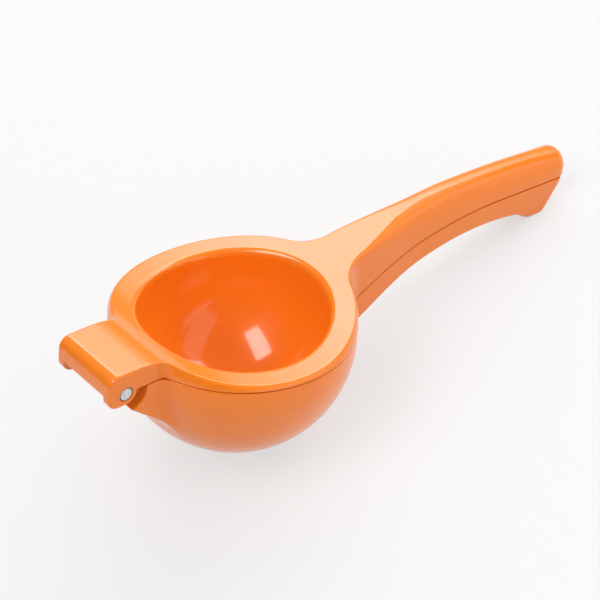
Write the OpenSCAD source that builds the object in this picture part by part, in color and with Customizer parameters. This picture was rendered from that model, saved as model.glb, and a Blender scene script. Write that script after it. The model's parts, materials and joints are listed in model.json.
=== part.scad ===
// Two-lever citrus press. A cup on the upper lever pushes half a fruit into
// the round bowl of the lower lever, and one pin joins the levers at the back.
// It is drawn with the bowl rim level at z = 0, the handles along +X and the
// hinge at -X, and then turned to the way the shut press lies on a table.

/* [Ring and bowl] */
// Outer radius of the ring where it meets the bowl rim
ring_r = 50; // [49.6:0.1:50.4]
// How far the ring's outer wall leans in from bottom to top
ring_lean = 1.4; // [0.8:0.1:1.6]
// Thickness of the ring where its arched top is lowest
ring_t = 2; // [1.8:0.1:2.4]
// Radius of the ring's arched top, seen from the side
arch_r = 212; // [205:1:220]
// Distance of the lowest point of the arch behind the ring's axis
arch_back = 10.7; // [9:0.1:12]
// Radius of the rounded edge round the top of ring and tab
edge_r = 1.2; // [0.8:0.1:1.4]
// Outer radius of the bowl sphere
bowl_r = 49.2; // [49:0.1:49.6]
// Distance of the bowl sphere's centre in front of the ring's axis
bowl_fore = 1.3; // [0.6:0.1:1.4]
// Depth of the bowl sphere's centre under the rim
bowl_drop = 7.6; // [7:0.1:8.2]
// Wall thickness of the bowl
bowl_wall = 3; // [2.6:0.1:3.2]
// Gap between the ring and the bowl rim
rim_gap = 0.3; // [0.2:0.05:0.5]

/* [Press cup] */
// Radius of the cup's hollow
cup_r = 38.4; // [37:0.2:38.6]
// Depth of the cup hollow's centre under the rim
cup_drop = 0.5; // [0.2:0.1:2]
// Wall thickness of the cup
cup_wall = 3; // [2.6:0.1:3.4]
// Radius of the rounded lip where the hollow opens in the ring
lip_r = 2.5; // [1.6:0.1:3]

/* [Drain holes] */
// Diameter of each drain hole
drain_d = 5; // [4:0.2:5.4]
// Number of rings of holes around the middle hole
drain_rings = 2; // [1:1:2]
// Distance from one ring of holes to the next
drain_step = 10.5; // [9:0.5:11]

/* [Hinge] */
// Distance of the hinge pin behind the ring's axis
pin_x = 64.6; // [64.2:0.1:65]
// Depth of the hinge pin under the rim
pin_drop = 0.6; // [0.4:0.1:0.8]
// Diameter of the hinge pin
pin_d = 6; // [5:0.1:6.4]
// Radial play of the pin in the knuckle
pin_play = 0.05; // [0.02:0.01:0.1]
// Width of the hinge tab and of the neck under it
tab_w = 33; // [31:0.5:35]
// Height of the tab's flat top over the rim
tab_h = 9.3; // [9:0.1:9.6]
// Thickness of each ear
ear_t = 4; // [3.5:0.1:4.5]
// Depth of the ears under the pin's axis
ear_r = 5; // [4.8:0.1:5.4]
// Radius of the knuckle round the pin
knuckle_r = 5; // [4.8:0.05:5.1]
// Radius of the hollow in the neck that the ears turn in
relief_r = 9.9; // [9.8:0.1:10.2]

/* [Handles] */
// Distance from the ring's axis to the end of the upper handle
handle_x = 186.8; // [185:0.2:188.6]
// Width of both handles along the grip
grip_w = 15.2; // [14.8:0.2:16.4]
// Angle at which each side of a handle spreads towards the ring
root_spread = 4.6; // [3.6:0.2:5]
// Height of the rounding on top of the grip
crest_down = 13; // [10:0.5:13.5]
// Wall thickness of both channel handles
handle_wall = 2.6; // [2.2:0.1:3]
// Gap between the two handles
handle_gap = 0.5; // [0.4:0.1:0.8]
// Radius of the fillet between ring and handle, seen from above
root_fillet = 17; // [15:1:19]

/* [Hidden] */
$fn = 180;
enamel = [0.93, 0.48, 0.13];
steel = [0.86, 0.87, 0.88];
over = 1;

// Tab and ears, from the side
tab_x = pin_x + 8.3;
tab_round = 3;
tab_corner = 1.6;
tab_fillet = 2;
ear_corner = 4.7;
ear_low = pin_drop + ear_r;
ear_play = 0.3;
pocket_r = knuckle_r + 0.6;
web_low = pin_drop + knuckle_r - 0.4;
pin_recess = 0.3;
pin_chamfer = 0.4;
neck_tip = [-pin_x, -7.4];
neck_foot = [-40, -27.7];

// The tab's flat top ends in a rounded step down to the arched ring
step_x = -56;
step_out_r = 14;
step_in_r = 16;
step_out = [step_x, tab_h - step_out_r];
arch_mid = [-arch_back, ring_t + arch_r];
step_in = two_away(arch_mid, arch_r - step_in_r, step_out, step_out_r + step_in_r);
step_mid = step_out + (step_in - step_out) * step_out_r / (step_out_r + step_in_r);
step_end = arch_mid + (step_in - arch_mid) * arch_r / (arch_r - step_in_r);

// Upper edge of the handle: the arch, a straight rise, a shoulder, a long arc
rise = 14.8;
rise_from = arch_mid + arch_r * [sin(rise), -cos(rise)];
rise_to_x = 80;
shoulder_r = 140;
crest_r = 608;
crest_top = [
    rise_to_x + shoulder_r * sin(rise),
    rise_from[1] + (rise_to_x - rise_from[0]) * tan(rise) + shoulder_r * (1 - cos(rise))
];
end_down = 9;
crest_from = 50;
crest_to = 110;
end_from = 160;

// Plan of the handle: straight grip, slight bend, spreading sides, fillet
grip_half = grip_w / 2;
bend_x = 98;
bend_r = 160;
bend_end = [bend_x - bend_r * sin(root_spread), grip_half + bend_r * (1 - cos(root_spread))];
nose_r = grip_half - 0.1;
flank_from = 44;

// Line where the two handles meet, and the underside of the lower one
seam_top = [137, 8.6];
seam_r = 188;
seam_fall = 0.03;
seam_end_x = seam_top[0] + seam_r * seam_fall;
belly_top = [131, -1.7];
belly_r = 130;
belly_slope = 26;
belly_from = belly_top[0] - belly_r * sin(belly_slope);
belly_edge = 1.6;
hook_from = 153;
hook_to = 167.5;
hook_low = -8.5;
tip_x = 172;
lower_end_x = handle_x - 3.8;
root_from = 44;
hook_near = 152;
channel_from = 60;
trough_to = 160;
trough_floor = 3;
trough_corner = 1.5;
round_steps = 6;

// How the shut press lies: on the bowl and on the hook of the lower handle
foot = [171.4, -8.1];
foot_reach = norm([foot[0] - bowl_fore, foot[1] + bowl_drop]);
rest_tilt = asin(bowl_r / foot_reach) + atan2(foot[1] + bowl_drop, foot[0] - bowl_fore);
rest_up = bowl_r + bowl_fore * sin(rest_tilt) + bowl_drop * cos(rest_tilt);
back_reach = (tab_x - ear_corner) * cos(rest_tilt) + (ear_low - ear_corner) * sin(rest_tilt) + ear_corner;
front_reach = max([for (a = [0:5:90])
    (handle_x - nose_r * (1 - cos(a))) * cos(rest_tilt)
    + (top_line(handle_x) - end_down * (1 - sin(a))) * sin(rest_tilt)]);
mid_x = (front_reach - back_reach) / 2;

function smooth(a, b, x) =
    let (t = min(1, max(0, (x - a) / (b - a)))) t * t * (3 - 2 * t);

function blend(a, b, t) = a + (b - a) * t;

// Height at x of a circular arc of radius r whose highest point is top
function arc_z(top, r, x) = top[1] - r + sqrt(r * r - pow(x - top[0], 2));

// Points along a circular arc, from one angle to another
function arc(mid, r, from, to, steps) =
    [for (i = [0:steps]) let (a = blend(from, to, i / steps)) mid + r * [cos(a), sin(a)]];

// The same with each point's outward direction; side is -1 in a hollow corner
function plan_arc(mid, r, from, to, steps, side = 1) =
    [for (i = [0:steps])
        let (a = blend(from, to, i / steps), out = [cos(a), sin(a)])
        [mid + r * out, side * out]];

// The point at distance dp from p and dq from q, to the left on the way to q
function two_away(p, dp, q, dq) =
    let (d = norm(q - p), a = (dp * dp - dq * dq + d * d) / (2 * d),
         h = sqrt(dp * dp - a * a), u = (q - p) / d)
    p + u * a + [-u[1], u[0]] * h;

// Height of the upper lever's top along the middle, from tab to handle end
function top_line(x) =
    x < tab_round - tab_x ? arc_z([tab_round - tab_x, tab_h], tab_round, max(x, -tab_x))
    : x < step_x ? tab_h
    : x < step_mid[0] ? arc_z([step_x, tab_h], step_out_r, x)
    : x < step_end[0] ? step_in[1] - sqrt(step_in_r * step_in_r - pow(x - step_in[0], 2))
    : x < rise_from[0] ? arch_mid[1] - sqrt(arch_r * arch_r - pow(x - arch_mid[0], 2))
    : x < rise_to_x ? rise_from[1] + (x - rise_from[0]) * tan(rise)
    : arc_z(crest_top, x < crest_top[0] ? shoulder_r : crest_r, x);

function seam_line(x) =
    arc_z(seam_top, seam_r, min(x, seam_end_x)) - seam_fall * max(0, x - seam_end_x);

function hook_line(x) =
    blend(arc_z(belly_top, belly_r, max(x, belly_from)) - max(0, belly_from - x) * tan(belly_slope),
          hook_low, smooth(hook_from, hook_to, x));

function belly_line(x) =
    x < tip_x ? hook_line(x)
    : blend(hook_low, seam_line(lower_end_x), pow((x - tip_x) / (lower_end_x - tip_x), 1.15));

function half_w(x) =
    x > bend_x ? grip_half
    : x > bend_end[0] ? grip_half + bend_r - sqrt(bend_r * bend_r - pow(bend_x - x, 2))
    : bend_end[1] + (bend_end[0] - x) * tan(root_spread);

// The rounding along the top: how far it reaches in, and how far down
function round_in(x) = blend(edge_r, nose_r - 0.6, smooth(crest_from, 100, x));

function round_down(x) =
    blend(edge_r, crest_down, smooth(crest_from, crest_to, x))
    - (crest_down - end_down) * smooth(end_from, handle_x - 2, x);

// Half of the upper lever's outline from above, from the nose to the tab
function half_plan() =
    let (across = [sin(root_spread), cos(root_spread)],
         along = [-cos(root_spread), sin(root_spread)],
         p = bend_end + root_fillet * across,
         b = p * along,
         root_mid = p + along * (-b - sqrt(b * b - p * p + pow(ring_r + root_fillet, 2))),
         root_turn = atan2(root_mid[1], root_mid[0]),
         tab_y = tab_w / 2 + tab_fillet,
         tab_mid = [-sqrt(pow(ring_r + tab_fillet, 2) - tab_y * tab_y), tab_y],
         tab_turn = atan2(tab_mid[1], tab_mid[0]))
    [
        each plan_arc([handle_x - nose_r, grip_half - nose_r], nose_r, 0, 90, 9),
        for (x = [handle_x - nose_r - 3:-4:bend_x + 2]) [[x, grip_half], [0, 1]],
        each plan_arc([bend_x, grip_half + bend_r], bend_r, 270, 270 - root_spread, 4, -1),
        for (x = [bend_end[0] - 3:-3:root_mid[0] - root_fillet * across[0] + 1]) [[x, half_w(x)], across],
        each plan_arc(root_mid, root_fillet, 270 - root_spread, 180 + root_turn, 12, -1),
        for (i = [1:49]) let (a = blend(root_turn, tab_turn, i / 50), out = [cos(a), sin(a)])
            [ring_r * out, out],
        each plan_arc(tab_mid, tab_fillet, tab_turn - 180, -90, 5, -1),
        for (x = [tab_mid[0] - 1:-1:step_x]) [[x, tab_w / 2], [0, 1]],
        for (x = [tab_round - tab_x:-0.7:tab_corner - tab_x + 0.4]) [[x, tab_w / 2], [0, 1]],
        each plan_arc([tab_corner - tab_x, tab_w / 2 - tab_corner], tab_corner, 90, 180, 4)
    ];

// Share of the ring wall's lean that applies at a point of the outline
function lean_at(p) = p[0] < 0 ? smooth(tab_w / 2 - 0.5, 21, p[1]) : 1 - smooth(48, 62, p[0]);

function lid_z(x) = x < flank_from ? -over : seam_line(x) + handle_gap / 2;

// The outline moved in and up by a share of the rounding, as a closed loop
function plan_loop(turn) =
    let (half = [for (p = half_plan())
            let (move = ring_lean * lean_at(p[0]) + round_in(p[0][0]) * (1 - cos(turn)),
                 q = p[0] - move * p[1])
            [q[0], q[1], top_line(q[0]) - round_down(p[0][0]) * (1 - sin(turn))]])
    both_ways(half);

function foot_loop() =
    both_ways([for (p = half_plan()) [p[0][0], p[0][1], lid_z(p[0][0])]]);

function both_ways(half) =
    [each half, for (i = [len(half) - 1:-1:0]) [half[i][0], -half[i][1], half[i][2]]];

// A flat-footed section across a handle, rounded at its far edge: a closed loop
function section(x, half, from, to, in, down) =
    let (quarter = [for (i = [0:round_steps])
            let (a = 90 * i / round_steps)
            [x, half - in * (1 - cos(a)), to - down * (1 - sin(a))]])
    both_ways([[x, half, from], each quarter]);

// Stations along the rounded nose of a hollow that ends at x = end
function nose_xs(end, long) = [for (i = [0:6]) end - long * (1 - sin(90 * i / 6))];

function nose(x, end, long) =
    let (q = 0.97 * max(0, 1 - (end - x) / long)) sqrt(1 - q * q);

function channel_section(x) =
    let (n = nose(x, handle_x - handle_wall, nose_r),
         half = (half_w(x) - handle_wall) * n,
         from = seam_line(x) - over,
         to = blend(seam_line(x) + over, top_line(x) - handle_wall, n),
         r = min(0.8 * round_in(x), half - 0.1, to - from - 1))
    section(x, half, from, to, r, r);

function lower_half(x) = half_w(x) * nose(x, handle_x, nose_r);

function lower_section(x) =
    let (from = seam_line(x) - handle_gap / 2, to = belly_line(x),
         r = min(belly_edge, 0.45 * (from - to)))
    section(x, -lower_half(x), from, to, -r, -r);

function trough_section(x) =
    section(x, handle_wall - half_w(x), seam_line(x) + over, belly_line(x) + trough_floor,
            -trough_corner, -trough_corner);

// The lip's cutter seen at one angle round the cup, outward and up
function lip_section(turn) =
    [for (p = [
        [cup_r - over, lip_r + over],
        [cup_r - over, -lip_r - over],
        for (a = [15:12.75:66]) [cup_r + lip_r * (1 - cos(a)), -lip_r * (1 - sin(a))],
        [cup_r + lip_r + over / 2, over / 3],
        [cup_r + lip_r + over / 2, lip_r + over]
    ]) let (x = p[0] * cos(turn)) [x, p[0] * sin(turn), top_line(x) + p[1]]];

// Joins equal loops of points, in order, into one closed body
module loft(loops) {
    n = len(loops[0]);
    m = len(loops);
    first = [for (i = [0:n - 1]) i];
    last = [for (i = [n - 1:-1:0]) (m - 1) * n + i];
    polyhedron([for (loop = loops) each loop], concat([first, last], skin(n, m)), convexity = 6);
}

function skin(n, m) = [
    for (j = [0:m - 2], i = [0:n - 1])
        let (a = j * n + i, b = j * n + (i + 1) % n)
        each [[a, b + n, b], [a, a + n, b + n]]
];

// Rows of a mirrored loop closed by strips across the middle
function strips(n, from, up) = [
    for (i = [0:n / 2 - 2])
        let (a = from + i, b = from + i + 1, c = from + n - 2 - i, d = from + n - 1 - i)
        each up ? [[a, c, b], [a, d, c]] : [[a, b, c], [a, c, d]]
];

// Plate and upper handle: one wall round the outline, a rounding, two lids
module top_casting() {
    loops = [foot_loop(), for (i = [0:round_steps]) plan_loop(90 * i / round_steps)];
    n = len(loops[0]);
    m = len(loops);
    polyhedron([for (loop = loops) each loop],
               concat(strips(n, 0, false), skin(n, m), strips(n, (m - 1) * n, true)),
               convexity = 6);
}

module lip_cutter() {
    steps = 96;
    loops = [for (i = [0:steps - 1]) lip_section(-360 * i / steps)];
    n = len(loops[0]);
    polyhedron([for (loop = loops) each loop],
               [for (f = skin(n, steps + 1)) [for (v = f) v % (n * steps)]],
               convexity = 6);
}

// Extrudes a side view, drawn as x and z, evenly to both sides of the middle
module across(width) {
    rotate([90, 0, 0])
        linear_extrude(width, center = true)
            children();
}

module cross_rod(r, width) {
    translate([-pin_x, 0, -pin_drop])
        rotate([90, 0, 0])
            cylinder(r = r, h = width, center = true);
}

module both_sides() {
    children();
    mirror([0, 1]) children();
}

module ear_side() {
    polygon([
        [-tab_x, over],
        each arc([ear_corner - tab_x, ear_corner - ear_low], ear_corner, 180, 270, 8),
        each arc([-pin_x, -pin_drop], ear_r, 270, 360, 12),
        [ear_r - pin_x, over]
    ]);
}

module ears() {
    both_sides()
        translate([0, (tab_w - ear_t) / 2, 0])
            across(ear_t) ear_side();
}

// What is taken off under the rim, so that the lever clears the bowl
module under_rim() {
    deep = ring_r;
    translate([bowl_fore, 0, -deep]) cylinder(r = ring_r + 2 * rim_gap, h = deep);
    translate([-2 * ring_r, -2 * ring_r, -deep]) cube([2 * ring_r + flank_from / 2, 4 * ring_r, deep]);
}

module cup_shell() {
    intersection() {
        translate([0, 0, -cup_drop]) sphere(cup_r + cup_wall);
        translate([-ring_r, -ring_r, -ring_r]) cube([2 * ring_r, 2 * ring_r, ring_r + over / 2]);
    }
}

module cup_hollow() {
    translate([0, 0, -cup_drop]) {
        sphere(cup_r);
        cylinder(r = cup_r, h = ring_r);
    }
    lip_cutter();
}

module handle_channel() {
    end = handle_x - handle_wall;
    loft([for (x = [each [channel_from:4:end - nose_r - 1], each nose_xs(end, nose_r)]) channel_section(x)]);
}

module at_bowl() {
    translate([bowl_fore, 0, -bowl_drop]) children();
}

module bowl_shell() {
    difference() {
        at_bowl() sphere(bowl_r);
        translate([-ring_r, -ring_r, -rim_gap]) cube([3 * ring_r, 2 * ring_r, ring_r]);
    }
}

// The neck reaches back from the bowl and is hollowed round the ears
module neck() {
    across(tab_w)
        difference() {
            polygon([[-pin_x, -rim_gap], [neck_foot[0], -rim_gap], neck_foot, neck_tip]);
            translate([-pin_x, -pin_drop]) circle(relief_r);
        }
}

// The knuckle between the ears, and the web that joins it to the neck
module knuckle() {
    width = tab_w - 2 * ear_t - 2 * ear_play;
    cross_rod(knuckle_r, width);
    across(width)
        translate([-pin_x, -web_low]) square([relief_r + over, web_low - rim_gap]);
}

module drain_holes() {
    translate([0, 0, -bowl_drop - bowl_r - over]) {
        cylinder(d = drain_d, h = ring_r);
        for (ring = [1:drain_rings], i = [0:6 * ring - 1])
            rotate(60 / ring * (i + 0.5))
                translate([ring * drain_step, 0])
                    cylinder(d = drain_d, h = ring_r);
    }
}

module lower_handle() {
    difference() {
        loft([for (x = [each [root_from:4:hook_near], each [hook_near + 2:1.5:lower_end_x - 0.5]])
            lower_section(x)]);
        loft([for (x = [channel_from:4:trough_to]) trough_section(x)]);
    }
}

// Turns the shut press to the way it lies, with the middle of its length at x = 0
module laid() {
    translate([-mid_x, 0, rest_up])
        rotate([0, rest_tilt, 0])
            children();
}

module lower_lever() {
    color(enamel)
        difference() {
            laid()
                difference() {
                    union() {
                        bowl_shell();
                        neck();
                        knuckle();
                        lower_handle();
                    }
                    at_bowl() sphere(bowl_r - bowl_wall);
                    cross_rod(pin_d / 2 + pin_play, tab_w);
                    drain_holes();
                }
            translate([handle_x / 2, -ring_r, -ring_r]) cube([handle_x, 2 * ring_r, ring_r]);
        }
}

module upper_lever() {
    color(enamel)
        laid()
            difference() {
                union() {
                    difference() {
                        top_casting();
                        under_rim();
                        handle_channel();
                    }
                    ears();
                    cup_shell();
                }
                cup_hollow();
                cross_rod(pocket_r, tab_w - 2 * ear_t);
                cross_rod(pin_d / 2, tab_w + 2 * over);
            }
}

module hinge_pin() {
    half = tab_w / 2 - pin_recess;
    color(steel)
        laid()
            translate([-pin_x, 0, -pin_drop])
                rotate([90, 0, 0])
                    union() {
                        cylinder(d = pin_d, h = 2 * (half - pin_chamfer), center = true);
                        for (turn = [0, 180])
                            rotate([turn, 0, 0])
                                translate([0, 0, half - pin_chamfer])
                                    cylinder(d1 = pin_d, d2 = pin_d - 2 * pin_chamfer, h = pin_chamfer);
                    }
}

lower_lever();
upper_lever();
hinge_pin();
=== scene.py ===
"""A two-lever citrus press in orange enamel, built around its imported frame.

Each lever is worked out as a distance field in the press's own seam frame:
millimetres, x along the handles, z up from the rim plane, hinge at -x. The
field is turned into a mesh, laid down as the shut press rests, and kept in
metres.
"""

import json
import math
from functools import partial

import bpy
import numpy as np
from mathutils import Matrix, Vector


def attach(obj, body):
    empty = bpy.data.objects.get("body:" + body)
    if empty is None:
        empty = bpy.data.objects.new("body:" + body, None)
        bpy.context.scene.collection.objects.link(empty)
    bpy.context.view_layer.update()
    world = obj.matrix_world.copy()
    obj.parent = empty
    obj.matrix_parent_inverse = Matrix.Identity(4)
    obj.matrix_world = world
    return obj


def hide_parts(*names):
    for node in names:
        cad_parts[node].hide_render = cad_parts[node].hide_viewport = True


bl_info = {
    "name": "Citrus Press",
    "version": (1, 0, 0),
    "blender": (4, 5, 0),
    "location": "View3D > Sidebar > Citrus Press",
    "description": "Builds the levers, the hinge pin and the studio of a two-lever citrus press",
    "category": "Object",
}

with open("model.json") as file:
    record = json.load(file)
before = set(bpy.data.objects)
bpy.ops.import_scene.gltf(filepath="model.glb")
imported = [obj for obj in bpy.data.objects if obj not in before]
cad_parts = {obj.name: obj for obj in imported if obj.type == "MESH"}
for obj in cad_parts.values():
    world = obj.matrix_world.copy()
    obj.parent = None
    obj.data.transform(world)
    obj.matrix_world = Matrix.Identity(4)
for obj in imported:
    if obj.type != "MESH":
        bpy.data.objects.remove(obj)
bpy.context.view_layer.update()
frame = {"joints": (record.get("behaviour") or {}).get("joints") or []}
MM = 0.001

# How the shut press lies, from its own seam frame to the frame's axes: on the
# bowl, whose sphere has this centre and radius, and on the hook of the handle
BOWL_X, BOWL_DROP, BOWL_R = 1.3, 7.6, 49.2
FOOT_X, FOOT_Z = 171.4, -8.1
REST_TILT = math.asin(BOWL_R / math.hypot(FOOT_X - BOWL_X, FOOT_Z + BOWL_DROP)) + math.atan2(
    FOOT_Z + BOWL_DROP, FOOT_X - BOWL_X)
PIN_X, PIN_Z = -64.6, -0.6
PIN_AT = Vector(frame["joints"][0]["pos_m"]) / MM


def lay_down(points):
    """Turns seam-frame points in millimetres to frame points in millimetres."""
    c, s = math.cos(REST_TILT), math.sin(REST_TILT)
    x = points[:, 0] - PIN_X
    z = points[:, 2] - PIN_Z
    return np.stack([PIN_AT.x + x * c + z * s, points[:, 1], PIN_AT.z - x * s + z * c], 1)


def turn_down(v):
    """Turns seam-frame directions to frame directions."""
    c, s = math.cos(REST_TILT), math.sin(REST_TILT)
    return np.stack([v[:, 0] * c + v[:, 2] * s, v[:, 1], -v[:, 0] * s + v[:, 2] * c], 1)


# ---- outlines: paths of straight and curved moves ----


def trace(start, heading, moves):
    """Follows moves from start: (length,) is straight, (radius, turn) an arc, left turns positive."""
    x, y = start
    a = math.radians(heading)
    pieces = []
    for move in moves:
        if len(move) == 1:
            pieces.append(("line", x, y, math.cos(a), math.sin(a), move[0]))
            x += move[0] * math.cos(a)
            y += move[0] * math.sin(a)
            continue
        r, turn = move[0], math.radians(move[1])
        s = 1 if turn > 0 else -1
        mx, my = x - s * r * math.sin(a), y + s * r * math.cos(a)
        begin = math.atan2(y - my, x - mx)
        pieces.append(("arc", mx, my, r, begin + turn / 2, abs(turn) / 2, s))
        a += turn
        x, y = mx + r * math.cos(begin + turn), my + r * math.sin(begin + turn)
    return pieces


def outside(pieces, p, q):
    """Distance of points to a path, positive on its right, which is outside."""
    best = np.full(np.broadcast(p, q).shape, -1e3, np.float32)
    for piece in pieces:
        if piece[0] == "line":
            _, x, y, ux, uy, length = piece
            along = (p - x) * ux + (q - y) * uy
            left = ux * (q - y) - uy * (p - x)
            near = (along >= -1e-4) & (along <= length + 1e-4)
        else:
            _, mx, my, r, middle, half, s = piece
            dx, dy = p - mx, q - my
            left = s * (r - np.hypot(dx, dy))
            away = np.arctan2(dy, dx) - middle
            away = (away + np.pi) % (2 * np.pi) - np.pi
            near = np.abs(away) <= half + 1e-5
        best = np.where(near & (np.abs(left) < np.abs(best)), left, best)
    return -best


# ---- fields: negative inside, positive outside, rounded where they meet ----


def smooth(a, b, x):
    """Rises from 0 at a to 1 at b, level at both ends."""
    t = np.clip((x - a) / (b - a), 0, 1)
    return t * t * (3 - 2 * t)


def ease(x, width):
    """Nothing below zero and x above it, with a soft bend of the given width between."""
    return np.where(x > width, x, np.maximum(x + width, 0) ** 2 / (4 * width))


def meet(a, b, r):
    """What lies in both, with its edge rounded to radius r."""
    return np.minimum(np.maximum(a, b), -r) + np.hypot(np.maximum(a + r, 0), np.maximum(b + r, 0))


def join(a, b, r):
    """What lies in either, with the inner corner filleted to radius r."""
    return np.maximum(np.minimum(a, b), r) - np.hypot(np.maximum(r - a, 0), np.maximum(r - b, 0))


# Sizes of the castings in the seam frame, in millimetres and degrees. A pair is
# the span in which one size passes into another.
FAR = 200.0
SOFT_EDGE, FINE_EDGE = 0.5, 0.4

# Ring, bowl and cup
RING_R = 50.0
RIM_GAP = 0.5
LEAN, LEAN_BESIDE_TAB, LEAN_BEFORE_HANDLE = 1.4, (16, 21), (48, 62)
EDGE_R, BOTTOM_EDGE = 0.8, 0.35
PLATE_END = 58.0
BOWL_WALL = 3.0
RIM_GROWTH, RIM_DEPTH, RIM_EDGE = 1.05, 24.0, 0.45
CUP_R = 38.4
CUP_DROP = 0.5
CUP_WALL = 3.0
CUP_BEND, CUP_FILLET = 6.0, 1.5
LIP_R = 2.5

# Tab, ears, neck and pin
TAB_X = 72.9
TAB_HALF = 16.5
TAB_H = 9.3
TAB_FILLET = 2.0
EAR_T = 4.0
EAR_CORNER = 4.7
EAR_LOW = 5.6
EAR_PLAY = 0.3
EAR_EDGE = 0.7
RELIEF_R = 9.9
NECK_Z, NECK_ANGLE_X, NECK_ANGLE_Z = -7.4, -0.6365, -0.7713
NECK_END = -30.0
NECK_EDGE, NECK_FILLET = 1.5, 3.5
KNUCKLE_R = 5.0
KNUCKLE_PLAY = 0.6
KNUCKLE_FILLET = 1.0
WEB_LOW, WEB_END = -5.2, -54.0
PIN_R = 3.0
PIN_PLAY = 0.05

# Handles
GRIP_HALF = 7.6
GRIP_ROUND, ROUND_SPAN = GRIP_HALF - 0.2, (50, 100)
HANDLE_START, HANDLE_END = 30.0, 186.8
HANDLE_WALL = 2.6
HANDLE_GAP = 0.5
BOWL_CLEARANCE = 0.6
CHANNEL_START, CHANNEL_R = 60.0, 2.0
ROOT_R = 17.0
NOSE_R = 7.5
CREST_R, CREST_SPAN = 13.0, (50, 110)
NOSE_CREST_R, NOSE_SPAN = 9.0, (160, 184)
RISE = 14.8
RISE_TO_X = 80.0
SHOULDER_R, CREST_ARC_R = 140.0, 608.0
SEAM_R, SEAM_X, SEAM_Z, SEAM_FALL = 188.0, 137.0, 8.6, 0.03
LOWER_START, LOWER_FILLET = 25.0, 3.0
TAPER, TAPER_START, TAPER_END = 0.0805, 91.6, 80.0
BELLY_EDGE, BELLY_WALL = 1.6, 3.0
TROUGH_END, TROUGH_R, TROUGH_END_R = 160.0, 1.5, 1.0
FOOT_START, FOOT_EDGE = 100.0, 0.3

UPPER_BOX = (-74, 0, -43), (189, 52, 27)
LOWER_BOX = (-72, 0, -59), (185, 52, 10)

# The camera as fitted to the photo: its azimuth, elevation and roll in the seam
# frame in degrees, its place to the right, up and back in millimetres, and its lens
CAMERA_TURN = -44.005, 35.23, 6.007
CAMERA_PLACE = 26.54, 6.144, 776
CAMERA_LENS, CAMERA_SENSOR = 117.04, 36.0


def ring_plan():
    """Half the upper lever from above: handle side, fillet, ring, tab side."""
    taper, bend_x, bend_r = math.radians(4.6), 98.0, 160.0
    rx = bend_x - bend_r * math.sin(taper)
    ry = GRIP_HALF + bend_r * (1 - math.cos(taper))
    # the root fillet's centre is one radius off the tapered side and off the ring
    px, py = rx + ROOT_R * math.sin(taper), ry + ROOT_R * math.cos(taper)
    ux, uy = -math.cos(taper), math.sin(taper)
    b = px * ux + py * uy
    run = -b - math.sqrt(b * b - px * px - py * py + (RING_R + ROOT_R) ** 2)
    ring_from = math.degrees(math.atan2(py + run * uy, px + run * ux))
    tab_y = TAB_HALF + TAB_FILLET
    tab_x = -math.sqrt((RING_R + TAB_FILLET) ** 2 - tab_y * tab_y)
    ring_to = math.degrees(math.atan2(tab_y, tab_x))
    return trace((HANDLE_END, -FAR), 90, [
        (FAR + GRIP_HALF - NOSE_R,),
        (NOSE_R, 90),
        (HANDLE_END - NOSE_R - bend_x,),
        (bend_r, -math.degrees(taper)),
        (run,),
        (ROOT_R, ring_from - 90 + math.degrees(taper)),
        (RING_R, ring_to - ring_from),
        (TAB_FILLET, 90 - ring_to),
        (FAR,),
    ])


def ring_side():
    """The upper lever from the side, from the nose over the crest to the tab's back."""
    arch_r, arch_x, arch_z = 212.0, -10.7, 214.0
    rise = math.radians(RISE)
    from_x, from_z = arch_x + arch_r * math.sin(rise), arch_z - arch_r * math.cos(rise)
    to_x = RISE_TO_X
    top_x = to_x + SHOULDER_R * math.sin(rise)
    top_z = from_z + (to_x - from_x) * math.tan(rise) + SHOULDER_R * (1 - math.cos(rise))
    reach = math.asin((HANDLE_END + 4 - top_x) / CREST_ARC_R)
    # the step from tab to ring: an outer arc and an inner arc inside the arch
    out_r, in_r, step_x, round_r = 30.0, 60.0, -57.5, 5.0
    ox, oz = step_x, TAB_H - out_r
    d = math.hypot(ox - arch_x, oz - arch_z)
    p, q = arch_r - in_r, out_r + in_r
    along = (p * p - q * q + d * d) / (2 * d)
    high = math.sqrt(p * p - along * along)
    ux, uz = (ox - arch_x) / d, (oz - arch_z) / d
    ix, iz = arch_x + ux * along - uz * high, arch_z + uz * along + ux * high
    arch_end = math.degrees(math.atan2(iz - arch_z, ix - arch_x)) % 360
    step_turn = math.degrees(math.atan2(iz - oz, ix - ox))
    end_z = top_z - CREST_ARC_R * (1 - math.cos(reach))
    lead = 30.0
    start = (HANDLE_END + 4 + lead * math.cos(reach), end_z - lead * math.sin(reach))
    return trace(start, 180 - math.degrees(reach), [
        (lead,),
        (CREST_ARC_R, math.degrees(reach)),
        (SHOULDER_R, RISE),
        ((to_x - from_x) / math.cos(rise),),
        (arch_r, arch_end - (270 + RISE)),
        (in_r, (step_turn + 180) - arch_end),
        (out_r, 90 - step_turn),
        (TAB_X - round_r + step_x,),
        (round_r, 90),
        (FAR,),
    ])


def ear_side():
    """An ear from the side, with a round corner behind and the pin's round in front."""
    low_r = EAR_LOW + PIN_Z
    return trace((-TAB_X, FAR), 270, [
        (FAR + EAR_LOW - EAR_CORNER,),
        (EAR_CORNER, 90),
        (TAB_X - EAR_CORNER + PIN_X,),
        (low_r, 90),
        (FAR,),
    ])


def belly_side():
    """The lower handle's underside from the bowl to the hook and up its end."""
    top_x, top_z, belly_r, start = 131.0, -1.7, 130.0, math.radians(26)
    sx, sz = top_x - belly_r * math.sin(start), top_z - belly_r * (1 - math.cos(start))
    lead = 30.0
    return trace((sx - lead * math.cos(start), sz - lead * math.sin(start)), 26, [
        (lead,),
        (belly_r, -36.2),
        (12.0, -19.8),
        (4.6,),
        (8.0, 30.0),
        (4.8,),
        (4.0, 56.0),
        (60.0,),
    ])


PLAN = ring_plan()
SIDE = ring_side()
EAR = ear_side()
BELLY = belly_side()


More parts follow.
